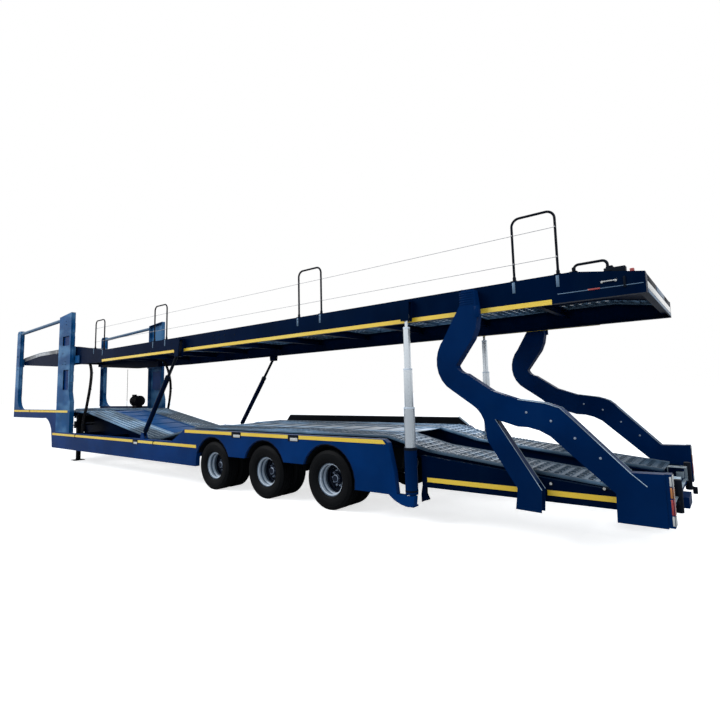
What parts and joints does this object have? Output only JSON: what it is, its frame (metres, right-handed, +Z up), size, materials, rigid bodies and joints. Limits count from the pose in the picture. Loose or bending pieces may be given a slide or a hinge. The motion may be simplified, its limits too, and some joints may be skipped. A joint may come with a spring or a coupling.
{
  "type": "two-deck car transporter semi-trailer",
  "caption": "Open two-deck semi-trailer that carries cars, with a gooseneck, slotted wheel tracks, S-shaped rear columns and an upper deck that tilts on rams.",
  "frame": {"origin": "on the ground, midway along the length and width", "axes": "+X forward to the kingpin end, +Y to the trailer's left, +Z up"},
  "size_m": [16.5, 2.506, 3.76],
  "materials": {
    "black_paint": "satin paint",
    "blue_paint": "semi-gloss paint",
    "chrome_rod": "polished",
    "dark_steel": "oiled",
    "galvanised": "galvanised",
    "hose_rubber": "matte",
    "lamp_plastic": "glossy",
    "reflective_yellow": "reflective film",
    "rim_steel": "silver lacquer",
    "tyre": "matte"
  },
  "bodies": {
    "chassis": {"axles": "black_paint", "coupler": "dark_steel", "cross_members": "blue_paint", "front_platform": "blue_paint", "front_tracks": "galvanised", "hoses": "hose_rubber", "hydraulic_unit": "black_paint", "kerb_rail": "black_paint", "landing_legs": "black_paint", "main_beams": "blue_paint", "neck_floor": "galvanised", "post_front_left": "blue_paint", "post_front_right": "blue_paint", "post_lift_left": "blue_paint", "post_lift_right": "blue_paint", "ram_feet": "blue_paint", "rear_beam_left": "blue_paint", "rear_beam_right": "blue_paint", "rear_column_left": "blue_paint", "rear_column_right": "blue_paint", "rear_tracks": "galvanised", "side_frame_left": "blue_paint", "side_frame_right": "blue_paint", "side_stripes": "reflective_yellow", "strut_feet": "blue_paint", "suspension": "black_paint", "tail_lamps": "lamp_plastic", "tail_sill": "blue_paint", "wheel_deck": "galvanised"},
    "wheel_left_1": {"tyres_left_1": "tyre", "rims_left_1": "rim_steel"},
    "wheel_left_2": {"tyres_left_2": "tyre", "rims_left_2": "rim_steel"},
    "wheel_left_3": {"tyres_left_3": "tyre", "rims_left_3": "rim_steel"},
    "wheel_right_1": {"tyres_right_1": "tyre", "rims_right_1": "rim_steel"},
    "wheel_right_2": {"tyres_right_2": "tyre", "rims_right_2": "rim_steel"},
    "wheel_right_3": {"tyres_right_3": "tyre", "rims_right_3": "rim_steel"},
    "upper_deck": {"deck_beam_left": "blue_paint", "deck_beam_right": "blue_paint", "deck_cross_members": "blue_paint", "deck_end_board": "blue_paint", "deck_stripes": "reflective_yellow", "deck_tracks": "blue_paint", "handrails": "black_paint"},
    "strut_barrel_left": {"strut_barrel_left": "black_paint"},
    "strut_rod_left": {"strut_rod_left": "dark_steel"},
    "ram_barrel_left": {"ram_barrel_left": "blue_paint"},
    "ram_stage_1_left": {"ram_stage_1_left": "chrome_rod"},
    "ram_stage_2_left": {"ram_stage_2_left": "chrome_rod"},
    "ram_stage_3_left": {"ram_stage_3_left": "chrome_rod"},
    "strut_barrel_right": {"strut_barrel_right": "black_paint"},
    "strut_rod_right": {"strut_rod_right": "dark_steel"},
    "ram_barrel_right": {"ram_barrel_right": "blue_paint"},
    "ram_stage_1_right": {"ram_stage_1_right": "chrome_rod"},
    "ram_stage_2_right": {"ram_stage_2_right": "chrome_rod"},
    "ram_stage_3_right": {"ram_stage_3_right": "chrome_rod"}
  },
  "joints": [
    {"name": "wheel_left_1_roll", "type": "hinge", "parent": "chassis", "child": "wheel_left_1", "pos_m": [-1.618, 0.9675, 0.3985], "axis": [0, 1, 0], "continuous": true},
    {"name": "wheel_left_2_roll", "type": "hinge", "parent": "chassis", "child": "wheel_left_2", "pos_m": [-2.928, 0.9675, 0.3985], "axis": [0, 1, 0], "continuous": true},
    {"name": "wheel_left_3_roll", "type": "hinge", "parent": "chassis", "child": "wheel_left_3", "pos_m": [-4.238, 0.9675, 0.3985], "axis": [0, 1, 0], "continuous": true},
    {"name": "wheel_right_1_roll", "type": "hinge", "parent": "chassis", "child": "wheel_right_1", "pos_m": [-1.618, -0.9675, 0.3985], "axis": [0, 1, 0], "continuous": true},
    {"name": "wheel_right_2_roll", "type": "hinge", "parent": "chassis", "child": "wheel_right_2", "pos_m": [-2.928, -0.9675, 0.3985], "axis": [0, 1, 0], "continuous": true},
    {"name": "wheel_right_3_roll", "type": "hinge", "parent": "chassis", "child": "wheel_right_3", "pos_m": [-4.238, -0.9675, 0.3985], "axis": [0, 1, 0], "continuous": true},
    {"name": "deck_tilt", "type": "hinge", "parent": "chassis", "child": "upper_deck", "pos_m": [4.16, 0, 2.56], "axis": [0, -1, 0], "range_deg": [0, 6]},
    {"name": "strut_swing_left", "type": "hinge", "parent": "chassis", "child": "strut_barrel_left", "pos_m": [0.77, 1.188, 0.83], "axis": [0, -1, 0], "range_deg": [0, 9.52]},
    {"name": "strut_slide_left", "type": "slide", "parent": "strut_barrel_left", "child": "strut_rod_left", "axis": [0.6073, 0, -0.7945], "range_m": [0, 0.3899]},
    {"name": "ram_swing_left", "type": "hinge", "parent": "chassis", "child": "ram_barrel_left", "pos_m": [-5.54, 1.172, 0.3], "axis": [0, 1, 0], "range_deg": [0, 2.97]},
    {"name": "ram_slide_1_left", "type": "slide", "parent": "ram_barrel_left", "child": "ram_stage_1_left", "axis": [0, 0, -1], "range_m": [0, 0.3404]},
    {"name": "ram_slide_2_left", "type": "slide", "parent": "ram_stage_1_left", "child": "ram_stage_2_left", "axis": [0, 0, -1], "range_m": [0, 0.3404]},
    {"name": "ram_slide_3_left", "type": "slide", "parent": "ram_stage_2_left", "child": "ram_stage_3_left", "axis": [0, 0, -1], "range_m": [0, 0.3404]},
    {"name": "strut_swing_right", "type": "hinge", "parent": "chassis", "child": "strut_barrel_right", "pos_m": [0.77, -1.188, 0.83], "axis": [0, -1, 0], "range_deg": [0, 9.52]},
    {"name": "strut_slide_right", "type": "slide", "parent": "strut_barrel_right", "child": "strut_rod_right", "axis": [0.6073, 0, -0.7945], "range_m": [0, 0.3899]},
    {"name": "ram_swing_right", "type": "hinge", "parent": "chassis", "child": "ram_barrel_right", "pos_m": [-5.54, -1.172, 0.3], "axis": [0, 1, 0], "range_deg": [0, 2.97]},
    {"name": "ram_slide_1_right", "type": "slide", "parent": "ram_barrel_right", "child": "ram_stage_1_right", "axis": [0, 0, -1], "range_m": [0, 0.3404]},
    {"name": "ram_slide_2_right", "type": "slide", "parent": "ram_stage_1_right", "child": "ram_stage_2_right", "axis": [0, 0, -1], "range_m": [0, 0.3404]},
    {"name": "ram_slide_3_right", "type": "slide", "parent": "ram_stage_2_right", "child": "ram_stage_3_right", "axis": [0, 0, -1], "range_m": [0, 0.3404]}
  ],
  "couplings": [
    {"joint": "strut_swing_left", "follows": "deck_tilt", "ratio": 1.5526},
    {"joint": "strut_slide_left", "follows": "deck_tilt", "m_per_rad": 3.6759},
    {"joint": "ram_swing_left", "follows": "deck_tilt", "ratio": 0.47778},
    {"joint": "ram_slide_1_left", "follows": "deck_tilt", "m_per_rad": 3.2216},
    {"joint": "ram_slide_2_left", "follows": "deck_tilt", "m_per_rad": 3.2216},
    {"joint": "ram_slide_3_left", "follows": "deck_tilt", "m_per_rad": 3.2216},
    {"joint": "strut_swing_right", "follows": "deck_tilt", "ratio": 1.5526},
    {"joint": "strut_slide_right", "follows": "deck_tilt", "m_per_rad": 3.6759},
    {"joint": "ram_swing_right", "follows": "deck_tilt", "ratio": 0.47778},
    {"joint": "ram_slide_1_right", "follows": "deck_tilt", "m_per_rad": 3.2216},
    {"joint": "ram_slide_2_right", "follows": "deck_tilt", "m_per_rad": 3.2216},
    {"joint": "ram_slide_3_right", "follows": "deck_tilt", "m_per_rad": 3.2216}
  ]
}
